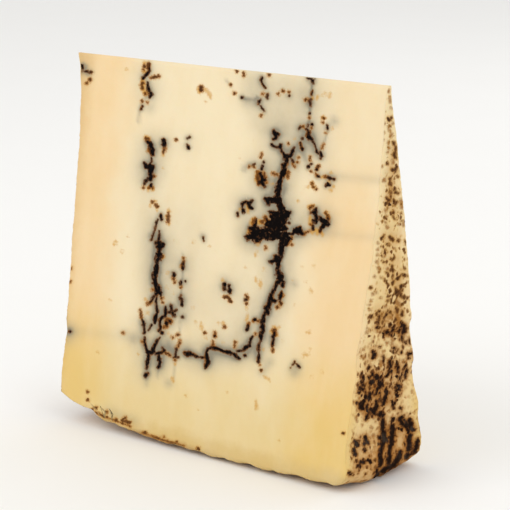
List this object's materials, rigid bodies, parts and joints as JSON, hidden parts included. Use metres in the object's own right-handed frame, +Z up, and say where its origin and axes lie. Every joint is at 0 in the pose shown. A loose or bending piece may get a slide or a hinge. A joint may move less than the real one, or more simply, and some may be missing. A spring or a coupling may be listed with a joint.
{
  "type": "truffle sheep cheese wedge",
  "caption": "Wedge of firm sheep cheese with dark truffle veins, standing on the curved rind of the wheel it was cut from.",
  "frame": {"origin": "middle of the bounding box on the surface that the wedge stands on", "axes": "+X along the axis of the wheel, towards the speckled flat rind face; -Y towards the cut face with the dark veins; +Z up, towards the thin edge of the wedge"},
  "size_m": [0.1234, 0.0378, 0.1152],
  "materials": {
    "cheese": "cream paste cut smooth, with a buff rind speckled dark brown"
  },
  "bodies": {
    "root": {"cheese_wedge": "cheese"}
  },
  "joints": []
}
